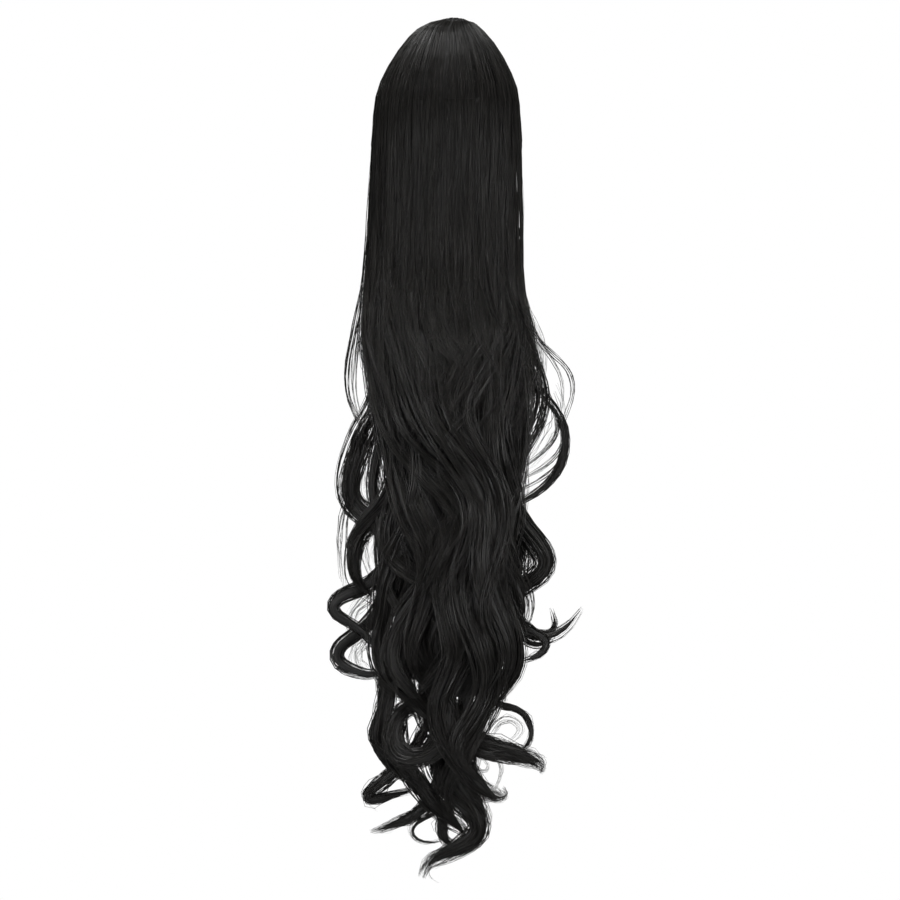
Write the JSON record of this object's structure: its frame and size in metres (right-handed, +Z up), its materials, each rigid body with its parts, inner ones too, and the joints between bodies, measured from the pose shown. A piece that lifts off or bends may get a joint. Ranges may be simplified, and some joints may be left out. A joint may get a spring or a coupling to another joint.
{
  "type": "ponytail hairpiece",
  "caption": "Long curly ponytail hairpiece on a hidden toothed claw clip, straight from a smooth domed crown, then in loose waves that end in curled tips.",
  "frame": {"origin": "middle of the claw clip's grip, where the wearer's gathered hair is held", "axes": "+Z up along the hanging hair, -Y towards the side that shows, +Y out of the clip's mouth towards the head"},
  "size_m": [0.2265, 0.0926, 0.7695],
  "materials": {
    "hair": "near-black synthetic hair fibre, soft sheen along the strands",
    "clip": "black moulded plastic"
  },
  "bodies": {
    "root": {"claw_clip": "clip", "crown": "hair", "front_fall": "hair", "back_fall": "hair"}
  },
  "joints": []
}
